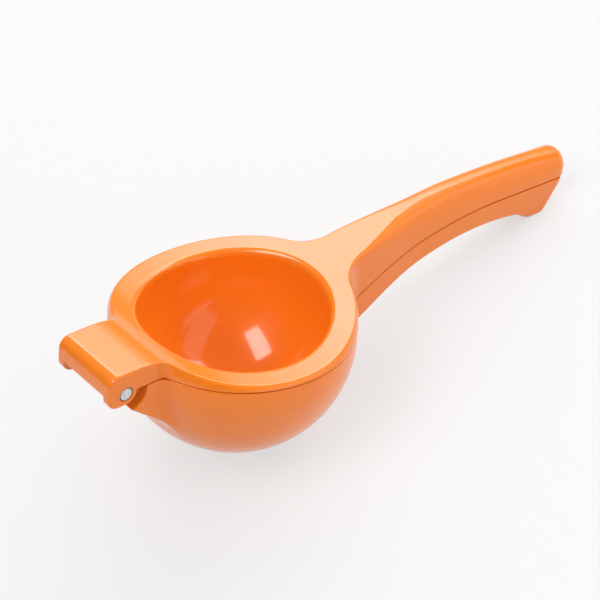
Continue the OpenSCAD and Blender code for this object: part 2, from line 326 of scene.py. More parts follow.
def seam_line(x):
    """Height of the line where the two handles meet, and its slope."""
    r, tx, tz, fall = SEAM_R, SEAM_X, SEAM_Z, SEAM_FALL
    end = tx + r * fall
    inner = np.minimum(x, end) - tx
    root = np.sqrt(np.maximum(r * r - inner * inner, 1))
    return tz - r + root - fall * np.maximum(0, x - end), -inner / root


def upper_field(x, y, z):
    """The upper lever: ring, tab with two ears, handle with its channel, press cup."""
    y = np.abs(y)
    plan = outside(PLAN, x, y)
    side = outside(SIDE, x, z)
    # the ring's side leans in towards its top, but not along the tab and the handle
    lean = LEAN * np.clip(z / np.maximum(z - side, 1), 0, 1) ** 2
    lean = lean * np.where(x < 0, smooth(*LEAN_BESIDE_TAB, y), 1 - smooth(*LEAN_BEFORE_HANDLE, x))
    # the rounding of the top edge grows from the ring to a full round on the grip
    across = EDGE_R + (GRIP_ROUND - EDGE_R) * smooth(*ROUND_SPAN, x)
    down = EDGE_R + (CREST_R - EDGE_R) * smooth(*CREST_SPAN, x)
    down = down - (CREST_R - NOSE_CREST_R) * smooth(*NOSE_SPAN, x)
    outer = meet((plan + lean) * down / across, side, down)
    pin = np.hypot(x - PIN_X, z - PIN_Z)
    plate = np.maximum(meet(outer, -z, BOTTOM_EDGE), x - PLATE_END)
    ear = meet(outside(EAR, x, z), np.abs(y - TAB_HALF + EAR_T / 2) - EAR_T / 2, EAR_EDGE)
    body = np.minimum(plate, np.maximum(ear, z - 3))
    # the handle hangs below the rim plane, clear of the bowl
    seam, slope = seam_line(x)
    under = (seam + HANDLE_GAP / 2 - z) / np.sqrt(1 + slope * slope)
    bowl = np.maximum(np.hypot(x - BOWL_X, y) - RING_R - BOWL_CLEARANCE, z)
    handle = meet(meet(outer, under, SOFT_EDGE), -bowl, FINE_EDGE)
    body = np.minimum(body, np.maximum(handle, HANDLE_START - x))
    inner = meet(plan + HANDLE_WALL, side + HANDLE_WALL, across * 0.8)
    channel = meet(inner, CHANNEL_START - x, CHANNEL_R)
    body = meet(body, -channel, SOFT_EDGE)
    # the cup: a round shell under the ring, and upright walls up to the ring's top
    ball = np.sqrt(x * x + y * y + (z + CUP_DROP) ** 2)
    body = join(body, np.maximum(ball - CUP_R - CUP_WALL, z - 1), CUP_FILLET)
    core = np.where(z < -CUP_DROP, ball, np.hypot(x, y)) - CUP_R - CUP_WALL
    body = np.minimum(body, np.maximum(core, side + 0.05))
    deep = ease(-z - CUP_DROP, CUP_BEND)
    hollow = np.sqrt(x * x + y * y + deep * deep) - CUP_R
    body = meet(body, -hollow, LIP_R)
    # room for the knuckle between the ears, and the pin's bore
    pocket = meet(pin - KNUCKLE_R - KNUCKLE_PLAY, y - TAB_HALF + EAR_T, 0.3)
    body = meet(body, -pocket, FINE_EDGE)
    return meet(body, PIN_R - pin, FINE_EDGE)


def lower_field(x, y, z):
    """The lower lever: bowl, neck with its knuckle, handle with its channel and hook."""
    y = np.abs(y)
    ball = np.sqrt((x - BOWL_X) ** 2 + y * y + (z + BOWL_DROP) ** 2)
    # the bowl's outside grows to the ring's own round at the rim
    rim = 1 - smooth(0, RIM_DEPTH, -z)
    bowl = np.sqrt((x - BOWL_X * (1 - rim)) ** 2 + y * y + (z + BOWL_DROP) ** 2)
    bowl = bowl - BOWL_R - RIM_GROWTH * rim
    pin = np.hypot(x - PIN_X, z - PIN_Z)
    # the neck, hollowed round the ears
    below = (x - PIN_X) * NECK_ANGLE_X + (z - NECK_Z) * NECK_ANGLE_Z
    neck = meet(meet(y - TAB_HALF, below, NECK_EDGE), x - NECK_END, SOFT_EDGE)
    body = join(bowl, np.maximum(neck, z - 4), NECK_FILLET)
    body = meet(body, z + RIM_GAP, RIM_EDGE)
    body = meet(body, RELIEF_R - pin, SOFT_EDGE)
    # the handle, which widens straight towards the bowl
    seam, slope = seam_line(x)
    over = (z - seam + HANDLE_GAP / 2) / np.sqrt(1 + slope * slope)
    straight = y - (GRIP_HALF + TAPER * np.maximum(0, TAPER_START - x))
    sides = np.where(x < TAPER_END, straight, outside(PLAN, x, y))
    belly = outside(BELLY, x, z)
    handle = meet(meet(sides, belly, BELLY_EDGE), over, SOFT_EDGE)
    body = join(body, np.maximum(handle, LOWER_START - x), LOWER_FILLET)
    trough = meet(sides + HANDLE_WALL, belly + BELLY_WALL, TROUGH_R)
    trough = meet(trough, meet(CHANNEL_START - x, x - TROUGH_END, TROUGH_END_R), TROUGH_R)
    body = meet(body, -trough, SOFT_EDGE)
    # the knuckle, and the short web that carries it
    half = TAB_HALF - EAR_T - EAR_PLAY
    web = np.maximum(np.maximum(WEB_LOW - z, z + RIM_GAP), np.maximum(PIN_X - x, x - WEB_END))
    web = meet(web, y - half, FINE_EDGE)
    knuckle = np.minimum(meet(pin - KNUCKLE_R, y - half, FINE_EDGE), web)
    body = join(body, knuckle, KNUCKLE_FILLET)
    # the bowl's inside and the pin's bore
    body = meet(body, BOWL_R - BOWL_WALL - ball, SOFT_EDGE)
    body = meet(body, PIN_R + PIN_PLAY - pin, 0.2)
    # the small flat that the hook rests on
    high = PIN_AT.z - (x - PIN_X) * math.sin(REST_TILT) + (z - PIN_Z) * math.cos(REST_TILT)
    return np.where(x > FOOT_START, meet(body, -high, FOOT_EDGE), body)


# ---- from a field to a mesh ----


def field_mesh(field, low, high, step):
    """Surface nets over one half, mirrored: vertices and quads in the seam frame."""
    xs = np.arange(low[0], high[0] + step, step, dtype=np.float32)
    ys = (np.arange(int(high[1] / step) + 3, dtype=np.float32) - 0.5) * step
    zs = np.arange(low[2], high[2] + step, step, dtype=np.float32)
    f = field(xs[:, None, None], ys[None, :, None], zs[None, None, :]).astype(np.float32)
    inside = f < 0
    # a cell that the surface passes through gets a point, the mean of its edges' crossings
    count = sum(
        inside[i:f.shape[0] - 1 + i, j:f.shape[1] - 1 + j, k:f.shape[2] - 1 + k].astype(np.int8)
        for i in (0, 1) for j in (0, 1) for k in (0, 1)
    )
    cells = np.argwhere((count > 0) & (count < 8))
    index = np.full(count.shape, -1, np.int32)
    index[tuple(cells.T)] = np.arange(len(cells))
    corner = np.array([(i, j, k) for i in (0, 1) for j in (0, 1) for k in (0, 1)])
    values = np.stack([f[tuple((cells + c).T)] for c in corner], 1)
    total = np.zeros((len(cells), 3))
    hits = np.zeros(len(cells))
    for a in range(8):
        for b in range(a + 1, 8):
            if np.abs(corner[a] - corner[b]).sum() != 1:
                continue
            fa, fb = values[:, a], values[:, b]
            cross = (fa < 0) != (fb < 0)
            t = np.where(cross, fa / np.where(cross, fa - fb, 1), 0)
            total += np.where(cross[:, None], corner[a] + t[:, None] * (corner[b] - corner[a]), 0)
            hits += cross
    points = (cells + total / hits[:, None]) * step + [xs[0], ys[0], zs[0]]
    # each grid edge that the surface crosses gets a quad from the four cells round it
    quads = []
    for axis in range(3):
        u, v = (axis + 1) % 3, (axis + 2) % 3
        a = np.moveaxis(inside, axis, 0)
        cross = np.moveaxis(a[:-1] != a[1:], 0, axis)
        edges = np.argwhere(cross)
        edges = edges[(edges[:, u] > 0) & (edges[:, v] > 0)]
        edges = edges[(edges[:, u] < f.shape[u] - 1) & (edges[:, v] < f.shape[v] - 1)]
        du, dv = np.eye(3, dtype=int)[u], np.eye(3, dtype=int)[v]
        around = ((1, 1), (0, 1), (0, 0), (1, 0))
        loop = np.stack([index[tuple((edges - s * du - t * dv).T)] for s, t in around], 1)
        out = inside[tuple(edges.T)]
        loop[~out] = loop[~out][:, ::-1]
        quads.append(loop)
    quads = np.concatenate(quads)
    # the mirrored half shares the points of the middle
    points[cells[:, 1] == 0, 1] = 0
    n = len(points)
    twin = np.arange(n) + n
    twin[cells[:, 1] == 0] = np.flatnonzero(cells[:, 1] == 0)
    points = np.concatenate([points, points * [1, -1, 1]])
    quads = np.concatenate([quads, twin[quads][:, ::-1]])
    used = np.unique(quads)
    renumber = np.full(len(points), -1)
    renumber[used] = np.arange(len(used))
    return points[used], renumber[quads]


def gradient(field, points, d=0.02):
    """The direction in which a field grows at each point."""
    g = np.stack([
        field(*(points + d * e).T) - field(*(points - d * e).T) for e in np.eye(3)
    ], 1) / (2 * d)
    return g / np.maximum(np.linalg.norm(g, axis=1, keepdims=True), 1e-9)


def settle(field, points, rounds=2):
    """Moves points along the field's slope onto its surface."""
    for _ in range(rounds):
        off = np.clip(field(*points.T), -0.4, 0.4)
        points = points - gradient(field, points) * off[:, None]
    return points


def mesh_object(name, points, faces):
    """An object with the given points and faces, linked to the scene."""
    mesh = bpy.data.meshes.new(name)
    mesh.vertices.add(len(points))
    mesh.vertices.foreach_set("co", points.astype(np.float32).ravel())
    mesh.loops.add(faces.size)
    mesh.loops.foreach_set("vertex_index", faces.ravel().astype(np.int32))
    mesh.polygons.add(len(faces))
    mesh.polygons.foreach_set("loop_start", np.arange(0, faces.size, faces.shape[1], dtype=np.int32))
    mesh.update(calc_edges=True)
    obj = bpy.data.objects.new(name, mesh)
    bpy.context.scene.collection.objects.link(obj)
    return obj


def evaluated(obj):
    """The object with its modifiers applied, as a plain mesh."""
    graph = bpy.context.evaluated_depsgraph_get()
    mesh = bpy.data.meshes.new_from_object(obj.evaluated_get(graph))
    old = obj.data
    obj.modifiers.clear()
    obj.data = mesh
    bpy.data.meshes.remove(old)
    return obj


def lever(name, field, low, high, sizes):
    """A lever's shell in the seam frame, in millimetres."""
    step, triangles = sizes.step, sizes.triangles
    points, quads = field_mesh(field, low, high, step)
    points = settle(field, points, 1)
    obj = mesh_object(name, points, quads)
    thin = obj.modifiers.new("thin", "DECIMATE")
    thin.ratio = min(1.0, triangles / (2 * len(quads)))
    evaluated(obj)
    mesh = obj.data
    points = settle(field, vertices_of(mesh))
    mesh.vertices.foreach_set("co", points.astype(np.float32).ravel())
    mesh.update()
    return obj


def vertices_of(mesh):
    """The mesh's points as rows of numbers."""
    co = np.empty(len(mesh.vertices) * 3, np.float32)
    mesh.vertices.foreach_get("co", co)
    return co.reshape(-1, 3).astype(float)


def lay_shell(obj, points, normals):
    """Lays a shell down in the frame, with the given seam-frame normals."""
    mesh = obj.data
    mesh.vertices.foreach_set("co", (lay_down(points) * MM).astype(np.float32).ravel())
    mesh.polygons.foreach_set("use_smooth", np.ones(len(mesh.polygons), bool))
    mesh.update()
    mesh.normals_split_custom_set_from_vertices(turn_down(normals).tolist())


def run_tree(obj, tree, sizes):
    """Runs a geometry node tree on an object with the given sizes and keeps its result."""
    live = obj.modifiers.new(tree.name, "NODES")
    live.node_group = tree
    for socket in tree.interface.items_tree:
        if socket.item_type == "SOCKET" and socket.in_out == "INPUT" and socket.name in sizes:
            live[socket.identifier] = sizes[socket.name]
    return evaluated(obj)


def new_tree(name, inputs):
    """A geometry node tree with a geometry, named inputs and one geometry output."""
    tree = bpy.data.node_groups.new(name, "GeometryNodeTree")
    tree.interface.new_socket("Geometry", in_out="INPUT", socket_type="NodeSocketGeometry")
    for label, kind in inputs.items():
        tree.interface.new_socket(label, in_out="INPUT", socket_type="NodeSocket" + kind)
    tree.interface.new_socket("Geometry", in_out="OUTPUT", socket_type="NodeSocketGeometry")
    return tree, tree.nodes.new("NodeGroupInput").outputs


def close_tree(tree, geometry, material):
    """Ends a tree in real geometry that carries the given material."""
    real = node(tree, "GeometryNodeRealizeInstances", {"Geometry": geometry})
    coated = node(tree, "GeometryNodeSetMaterial", {"Geometry": real.outputs[0], "Material": material})
    node(tree, "NodeGroupOutput", {"Geometry": coated.outputs[0]})


def node(tree, kind, inputs=None, **settings):
    """Adds a node, sets its settings, and fills or links its inputs by name or number."""
    made = tree.nodes.new(kind)
    for key, value in settings.items():
        setattr(made, key, value)
    for key, value in (inputs or {}).items():
        if isinstance(value, bpy.types.NodeSocket):
            tree.links.new(value, made.inputs[key])
        else:
            made.inputs[key].default_value = value
    return made


def math_node(tree, operation, *values):
    """One step of arithmetic on numbers or sockets; gives its output socket."""
    return node(tree, "ShaderNodeMath", dict(enumerate(values)), operation=operation).outputs[0]


def vector_node(tree, operation, *values, output="Vector"):
    """One step of arithmetic on vectors or sockets; gives its output socket."""
    made = node(tree, "ShaderNodeVectorMath", dict(enumerate(values)), operation=operation)
    return made.outputs[output]


def hole_tree():
    """Pierces a bowl with rings of upright holes whose edges are rounded along its sphere."""
    tree, given = new_tree("drain_holes", {
        "Rings": "Int", "Ring spacing": "Float", "Diameter": "Float", "Edge radius": "Float",
        "Bowl radius": "Float", "Bowl wall": "Float", "Bowl centre": "Vector", "Material": "Material",
    })
    calc, vector = partial(math_node, tree), partial(vector_node, tree)
    rings = given["Rings"]
    count = calc("ADD", calc("MULTIPLY", calc("MULTIPLY", rings, 3.0), calc("ADD", rings, 1.0)), 1.0)
    # ring k has 6 k holes, so hole i lies in ring ceil(sqrt(i / 3 + 1/4) - 1/2)
    i = tree.nodes.new("GeometryNodeInputIndex").outputs[0]
    k = calc("CEIL", calc("SUBTRACT", calc("SQRT", calc("MULTIPLY_ADD", i, 1 / 3, 0.25)), 0.5001))
    first = calc("MULTIPLY", calc("MULTIPLY", k, 3.0), calc("SUBTRACT", k, 1.0))
    step = calc("SUBTRACT", calc("SUBTRACT", i, first), 0.5)
    turn = calc("DIVIDE", calc("MULTIPLY", step, math.pi / 3), calc("MAXIMUM", k, 1.0))
    away = calc("MULTIPLY", k, given["Ring spacing"])
    place = node(tree, "ShaderNodeCombineXYZ", {
        "X": calc("MULTIPLY", away, calc("COSINE", turn)),
        "Y": calc("MULTIPLY", away, calc("SINE", turn))}).outputs[0]
    points = node(tree, "GeometryNodePoints", {"Count": count, "Position": place})
    named = node(tree, "GeometryNodeStoreNamedAttribute", {
        "Geometry": points.outputs[0], "Name": "axis", "Value": place}, data_type="FLOAT_VECTOR")
    rod = node(tree, "GeometryNodeMeshCylinder", {
        "Vertices": 40, "Side Segments": 16, "Radius": 1.0, "Depth": 2.0})
    rods = node(tree, "GeometryNodeInstanceOnPoints", {
        "Points": named.outputs[0], "Instance": rod.outputs["Mesh"]})
    rods = node(tree, "GeometryNodeRealizeInstances", {"Geometry": rods.outputs[0]})

    # each rod widens in a quarter round where it leaves the wall, and stands
    # a little out of it on both sides
    axis = node(tree, "GeometryNodeInputNamedAttribute", {"Name": "axis"}, data_type="FLOAT_VECTOR")
    axis = axis.outputs[0]
    here = tree.nodes.new("GeometryNodeInputPosition").outputs[0]
    local = vector("SUBTRACT", here, axis)
    level = node(tree, "ShaderNodeSeparateXYZ", {0: local}).outputs["Z"]
    end = calc("ABSOLUTE", level)
    bend_from, bend_to = 0.25, 0.75
    round_turn = node(tree, "ShaderNodeMapRange", {
        "Value": end, "From Min": bend_from, "From Max": bend_to,
        "To Min": math.pi / 2, "To Max": 0.2}).outputs[0]
    edge = given["Edge radius"]
    wide = calc("MULTIPLY_ADD", edge, calc("SUBTRACT", 1.0, calc("SINE", round_turn)),
                calc("MULTIPLY", given["Diameter"], 0.5))
    deep = calc("MULTIPLY", edge, calc("SUBTRACT", 1.0, calc("COSINE", round_turn)))
    past = node(tree, "ShaderNodeMapRange", {
        "Value": end, "From Min": bend_to, "From Max": 1.0, "To Min": 0.0, "To Max": 2.0}).outputs[0]
    flat = vector("MULTIPLY", local, (1.0, 1.0, 0.0))
    spread = node(tree, "ShaderNodeVectorMath", {0: flat, "Scale": wide}, operation="SCALE").outputs[0]
    column = vector("ADD", spread, axis)
    off = vector("MULTIPLY", vector("SUBTRACT", column, given["Bowl centre"]), (1.0, 1.0, 0.0))
    square = vector("DOT_PRODUCT", off, off, output="Value")
    outer = given["Bowl radius"]
    inner = calc("SUBTRACT", outer, given["Bowl wall"])
    inward = calc("SIGN", level)

    def wall(radius):
        """Height over the bowl's centre at which the column leaves a sphere of this radius."""
        height = calc("SQRT", calc("SUBTRACT", calc("MULTIPLY", radius, radius), square))
        return calc("MULTIPLY", height, -1.0)

    share = calc("MULTIPLY_ADD", inward, 0.5, 0.5)
    surface = calc("ADD", calc("MULTIPLY", wall(inner), share),
                   calc("MULTIPLY", wall(outer), calc("SUBTRACT", 1.0, share)))
    high = calc("MULTIPLY_ADD", inward, calc("SUBTRACT", past, deep), surface)
    centre_z = node(tree, "ShaderNodeSeparateXYZ", {0: given["Bowl centre"]}).outputs["Z"]
    lift = node(tree, "ShaderNodeCombineXYZ", {"Z": calc("ADD", high, centre_z)}).outputs[0]
    target = vector("ADD", column, lift)
    rods = node(tree, "GeometryNodeSetPosition", {"Geometry": rods.outputs[0], "Position": target})
    pierced = node(tree, "GeometryNodeMeshBoolean", {
        "Mesh 1": given["Geometry"], "Mesh 2": rods.outputs[0]}, operation="DIFFERENCE", solver="EXACT")
    close_tree(tree, pierced.outputs[0], given["Material"])
    return tree


def pin_tree():
    """Sweeps a round rod along Y, with its ends rounded over."""
    tree, given = new_tree("hinge_pin", {
        "Length": "Float", "Diameter": "Float", "End radius": "Float", "Centre": "Vector",
        "Material": "Material",
    })
    calc = partial(math_node, tree)
    half = calc("MULTIPLY", given["Length"], 0.5)
    steps, bend_from = 16, 0.75
    line = node(tree, "GeometryNodeCurvePrimitiveLine", {
        "Start": (0.0, -1.0, 0.0), "End": (0.0, 1.0, 0.0)})
    line = node(tree, "GeometryNodeResampleCurve", {"Curve": line.outputs[0], "Count": 2 * steps + 1})
    along = calc("MULTIPLY_ADD", tree.nodes.new("GeometryNodeInputIndex").outputs[0], 1 / steps, -1.0)
    end = calc("ABSOLUTE", along)
    # the outer quarter of the points goes to the round at each end
    turn = node(tree, "ShaderNodeMapRange", {
        "Value": end, "From Min": bend_from, "From Max": 1.0,
        "To Min": 0.0, "To Max": math.pi / 2}).outputs[0]
    edge = given["End radius"]
    reach = calc("MULTIPLY_ADD", edge, calc("SINE", turn), calc("SUBTRACT", half, edge))
    inside = calc("MULTIPLY", calc("DIVIDE", end, bend_from), calc("SUBTRACT", half, edge))
    outer = calc("GREATER_THAN", end, bend_from)
    inside = calc("MULTIPLY", inside, calc("SUBTRACT", 1.0, outer))
    far = calc("ADD", calc("MULTIPLY", reach, outer), inside)
    far = calc("MULTIPLY", far, calc("SIGN", along))
    spot = node(tree, "ShaderNodeCombineXYZ", {"Y": far}).outputs[0]
    spot = vector_node(tree, "ADD", spot, given["Centre"])
    thick = calc("SUBTRACT", calc("MULTIPLY", given["Diameter"], 0.5),
                 calc("MULTIPLY", edge, calc("SUBTRACT", 1.0, calc("COSINE", turn))))
    moved = node(tree, "GeometryNodeSetPosition", {"Geometry": line.outputs[0], "Position": spot})
    ring = node(tree, "GeometryNodeCurvePrimitiveCircle", {"Resolution": 64, "Radius": 1.0})
    rod = node(tree, "GeometryNodeCurveToMesh", {
        "Curve": moved.outputs[0], "Profile Curve": ring.outputs[0], "Scale": thick, "Fill Caps": True})
    close_tree(tree, rod.outputs[0], given["Material"])
    return tree


# ---- materials ----


def mixed_colour(t, share, low, high):
    """A colour between two others; gives its output socket."""
    return node(t, "ShaderNodeMix", {"Factor": share, 6: low, 7: high}, data_type="RGBA").outputs[2]


def enamel_material(look):
    """Orange enamel: a coloured coat with slight drifts of tone under a clear gloss."""
    mat = bpy.data.materials.new("orange_enamel")
    mat.use_nodes = True
    t = mat.node_tree
    shader = t.nodes["Principled BSDF"]
    place = t.nodes.new("ShaderNodeTexCoord").outputs["Object"]
    drift = node(t, "ShaderNodeTexNoise", {"Vector": place, "Scale": 22.0, "Detail": 3.0}).outputs["Fac"]
    tint = mixed_colour(t, drift, look.colour_low, look.colour_high)
    t.links.new(tint, shader.inputs["Base Color"])
    rough = node(t, "ShaderNodeMapRange", {
        "Value": drift, "To Min": look.roughness - 0.02, "To Max": look.roughness + 0.02})
    t.links.new(rough.outputs[0], shader.inputs["Roughness"])
    peel = node(t, "ShaderNodeTexNoise", {"Vector": place, "Scale": 420.0, "Detail": 2.0})
    bump = node(t, "ShaderNodeBump", {
        "Height": peel.outputs["Fac"], "Strength": look.peel, "Distance": 0.0002})
    t.links.new(bump.outputs[0], shader.inputs["Normal"])
    shader.inputs["Coat Weight"].default_value = look.coat
    shader.inputs["Coat Roughness"].default_value = look.coat_roughness
    shader.inputs["Specular IOR Level"].default_value = look.specular
    return mat


def steel_material():
    """Bright steel with fine streaks across the pin's ends."""
    mat = bpy.data.materials.new("bright_steel")
    mat.use_nodes = True
    t = mat.node_tree
    shader = t.nodes["Principled BSDF"]
    place = t.nodes.new("ShaderNodeTexCoord").outputs["Object"]
    turned = node(t, "ShaderNodeMapping", {
        "Vector": place, "Rotation": (0.0, 0.7, 0.0), "Scale": (1100.0, 60.0, 160.0)})
    streak = node(t, "ShaderNodeTexNoise", {"Vector": turned.outputs[0], "Scale": 1.0, "Detail": 3.0})
    streak = streak.outputs["Fac"]
    tone = mixed_colour(t, streak, (0.44, 0.46, 0.48, 1), (0.86, 0.87, 0.88, 1))
    # painted shade: the pin's colour turns dark brown in a thin ring where it meets the ears, standing
    # in for the shade in the gap round it
    out = vector_node(t, "SUBTRACT", place, tuple(PIN_AT * MM))
    out = vector_node(t, "MULTIPLY", out, (1.0, 0.0, 1.0))
    out = vector_node(t, "LENGTH", out, output="Value")
    edge = node(t, "ShaderNodeMapRange", {"Value": out, "From Min": 0.0024, "From Max": 0.0028})
    tone = mixed_colour(t, edge.outputs[0], tone, (0.10, 0.06, 0.04, 1))
    t.links.new(tone, shader.inputs["Base Color"])
    rough = node(t, "ShaderNodeMapRange", {"Value": streak, "To Min": 0.28, "To Max": 0.42})
    t.links.new(rough.outputs[0], shader.inputs["Roughness"])
    bump = node(t, "ShaderNodeBump", {"Height": streak, "Strength": 0.25, "Distance": 0.0001})
    t.links.new(bump.outputs[0], shader.inputs["Normal"])
    shader.inputs["Metallic"].default_value = 0.9
    return mat


def paper_material(glow):
    """White paper that keeps shadows and looks white to the camera."""
    mat = bpy.data.materials.new("pale_paper")
    mat.use_nodes = True
    t = mat.node_tree
    shader = t.nodes["Principled BSDF"]
    shader.inputs["Base Color"].default_value = (0.62, 0.62, 0.62, 1)
    shader.inputs["Roughness"].default_value = 0.9
    shader.inputs["Specular IOR Level"].default_value = 0.1
    white = node(t, "ShaderNodeEmission", {"Color": (1, 1, 1, 1), "Strength": 1.0})
    rays = t.nodes.new("ShaderNodeLightPath")
    seen = math_node(t, "MAXIMUM", rays.outputs["Is Camera Ray"], rays.outputs["Is Glossy Ray"])
    seen = math_node(t, "MAXIMUM", seen, rays.outputs["Is Transmission Ray"])
    share = math_node(t, "MULTIPLY", seen, glow)
    mixed = node(t, "ShaderNodeMixShader", {0: share, 1: shader.outputs[0], 2: white.outputs[0]})
    t.links.new(mixed.outputs[0], t.nodes["Material Output"].inputs["Surface"])
    return mat


# ---- settings ----


class EnamelLook(bpy.types.PropertyGroup):
    """Tones and gloss of the enamel"""

    colour_low: bpy.props.FloatVectorProperty(
        name="Enamel, deep", description="Darker of the two enamel tones", subtype="COLOR",
        size=4, min=0, max=1, default=(0.82, 0.186, 0.006, 1))
    colour_high: bpy.props.FloatVectorProperty(
        name="Enamel, light", description="Lighter of the two enamel tones", subtype="COLOR",
        size=4, min=0, max=1, default=(0.86, 0.206, 0.009, 1))
    roughness: bpy.props.FloatProperty(
        name="Roughness", description="Roughness of the colour coat", subtype="FACTOR",
        min=0.1, max=0.9, default=0.42)
    specular: bpy.props.FloatProperty(
        name="Specular", description="Strength of the colour coat's own gloss", subtype="FACTOR",
        min=0, max=1, default=0.1)
    coat: bpy.props.FloatProperty(
        name="Clear coat", description="Weight of the clear gloss over the colour", subtype="FACTOR",
        min=0, max=1, default=0.86)
    coat_roughness: bpy.props.FloatProperty(
        name="Clear coat roughness", description="Softness of the clear coat's reflections",
        subtype="FACTOR", min=0, max=1, default=0.11)
    peel: bpy.props.FloatProperty(
        name="Orange peel", description="Strength of the fine waviness of the enamel",
        subtype="FACTOR", min=0, max=1, default=0.05)


class LeverSizes(bpy.types.PropertyGroup):
    """Fineness of the levers' meshes"""

    step: bpy.props.FloatProperty(
        name="Mesh step",
        description="Grid step from which the levers' surfaces are drawn, in millimetres",
        min=0.4, max=2, default=0.5)
    triangles: bpy.props.IntProperty(
        name="Triangles", description="Number of triangles left in each lever's mesh",
        min=20000, max=190000, default=150000)


class DrainSizes(bpy.types.PropertyGroup):
    """Sizes of the drain holes"""

    rings: bpy.props.IntProperty(
        name="Rings of holes", description="Number of rings of drain holes round the middle one",
        min=0, max=3, default=2)
    spacing: bpy.props.FloatProperty(
        name="Ring spacing", description="Distance from one ring of drain holes to the next",
        unit="LENGTH", min=0.008, max=0.012, default=0.0105)
    diameter: bpy.props.FloatProperty(
        name="Hole diameter", description="Diameter of each drain hole", unit="LENGTH",
        min=0.003, max=0.006, default=0.005)
    edge: bpy.props.FloatProperty(
        name="Hole edge radius", description="Radius of the rounding at both ends of a drain hole",
        unit="LENGTH", min=0.0002, max=0.001, default=0.0006)


class PinSizes(bpy.types.PropertyGroup):
    """Sizes of the hinge pin"""

    diameter: bpy.props.FloatProperty(
        name="Pin diameter", description="Diameter of the hinge pin", unit="LENGTH",
        min=0.003, max=0.0062, default=0.006)
    length: bpy.props.FloatProperty(
        name="Pin length", description="Length of the hinge pin", unit="LENGTH",
        min=0.026, max=0.0325, default=0.0324)
    edge: bpy.props.FloatProperty(
        name="Pin end radius", description="Radius of the rounding round each end of the pin",
        unit="LENGTH", min=0.0001, max=0.001, default=0.0004)


class StudioLook(bpy.types.PropertyGroup):
    """Brightness of the lights, the room and the floor"""

    bank_glow: bpy.props.FloatProperty(
        name="Bank brightness", description="Brightness of the wide light behind the press at its top",
        min=0, max=20, default=6.8)
    top_glow: bpy.props.FloatProperty(
        name="Top box brightness", description="Brightness of the soft box above the press",
        min=0, max=30, default=9.5)
    key_glow: bpy.props.FloatProperty(
        name="Key brightness", description="Brightness of the soft light from the upper left",
        min=0, max=30, default=4.4)
    card_glow: bpy.props.FloatProperty(
        name="Card brightness", description="Brightness of the white card at the front right",
        min=0, max=5, default=1.1)
    fill_glow: bpy.props.FloatProperty(
        name="Fill brightness", description="Brightness of the low wide light in front of the press",
        min=0, max=5, default=1.3)
    sky: bpy.props.FloatProperty(
        name="Room light", description="Strength of the light from all around", min=0, max=2,
        default=0.44)
    shine: bpy.props.FloatProperty(
        name="Room reflection", description="Brightness of the room in the gloss", min=0, max=2,
        default=0.1)
    floor_glow: bpy.props.FloatProperty(
        name="Floor whiteness", description="Share of plain white in what the camera sees of the floor",
        subtype="FACTOR", min=0, max=1, default=0.62)


# ---- operators ----


class PRESS_OT_upper_lever(bpy.types.Operator):
    """Builds the ring, press cup, tab and upper handle in one casting"""

    bl_idname = "press.upper_lever"
    bl_label = "Upper lever"

    def execute(self, context):
        sizes = context.scene.press_levers
        obj = lever("upper_lever_shell", upper_field, *UPPER_BOX, sizes)
        points = vertices_of(obj.data)
        lay_shell(obj, points, gradient(upper_field, points, 0.01))
        obj.data.materials.append(enamel(context))
        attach(obj, "upper")
        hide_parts("upper_lever")
        return {"FINISHED"}


class PRESS_OT_lower_lever(bpy.types.Operator):
    """Builds the bowl, neck, knuckle and lower handle in one casting"""

    bl_idname = "press.lower_lever"
    bl_label = "Lower lever"

    def execute(self, context):
        sizes = context.scene.press_levers
        drain = context.scene.press_drain
        obj = lever("lower_lever_shell", lower_field, *LOWER_BOX, sizes)
        run_tree(obj, hole_tree(), {
            "Rings": drain.rings, "Ring spacing": drain.spacing / MM, "Diameter": drain.diameter / MM,
            "Edge radius": drain.edge / MM, "Bowl radius": BOWL_R, "Bowl wall": BOWL_WALL,
            "Bowl centre": (BOWL_X, 0.0, -BOWL_DROP), "Material": enamel(context)})
        points = vertices_of(obj.data)
        normals = gradient(lower_field, points, 0.01)
        lay_shell(obj, points, hole_normals(points, normals, drain))
        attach(obj, "lower")
        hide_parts("lower_lever")
        return {"FINISHED"}


def hole_normals(points, normals, drain):
    """Turns the normals in the drain holes to the holes' walls and round edges."""
    centre = np.array([BOWL_X, 0, -BOWL_DROP])
    out = points - centre
    ball = np.linalg.norm(out, axis=1)
    out = out / ball[:, None]
    radius, edge = drain.diameter / MM / 2, drain.edge / MM
    axes = [(0.0, 0.0)]
    for k in range(1, drain.rings + 1):
        ring = k * drain.spacing / MM
        turn = (np.arange(6 * k) + 0.5) * math.pi / (3 * k)
        axes += [(ring * math.cos(a), ring * math.sin(a)) for a in turn]
    away = points[:, None, :2] - np.array(axes)[None]
    reach = np.linalg.norm(away, axis=2)
    nearest = reach.argmin(1)
    rows = np.arange(len(points))
    reach, away = reach[rows, nearest], away[rows, nearest]
    wall = np.concatenate([-away / np.maximum(reach, 1e-6)[:, None], np.zeros((len(points), 1))], 1)
    outer_depth, inner_depth = BOWL_R - ball, ball - (BOWL_R - BOWL_WALL)
    depth = np.clip(np.minimum(outer_depth, inner_depth), 0, edge)
    face = np.where((outer_depth < inner_depth)[:, None], out, -out)
    turned = (1 - depth / edge)[:, None]
    mixed = face * turned + wall * np.sqrt(1 - turned * turned)
    mixed /= np.linalg.norm(mixed, axis=1, keepdims=True)
    slack = 0.05
    inside = (reach < radius + edge * 0.99) & (points[:, 2] < -BOWL_DROP)
    inside &= (ball < BOWL_R + slack) & (ball > BOWL_R - BOWL_WALL - slack)
    return np.where(inside[:, None], mixed, normals)


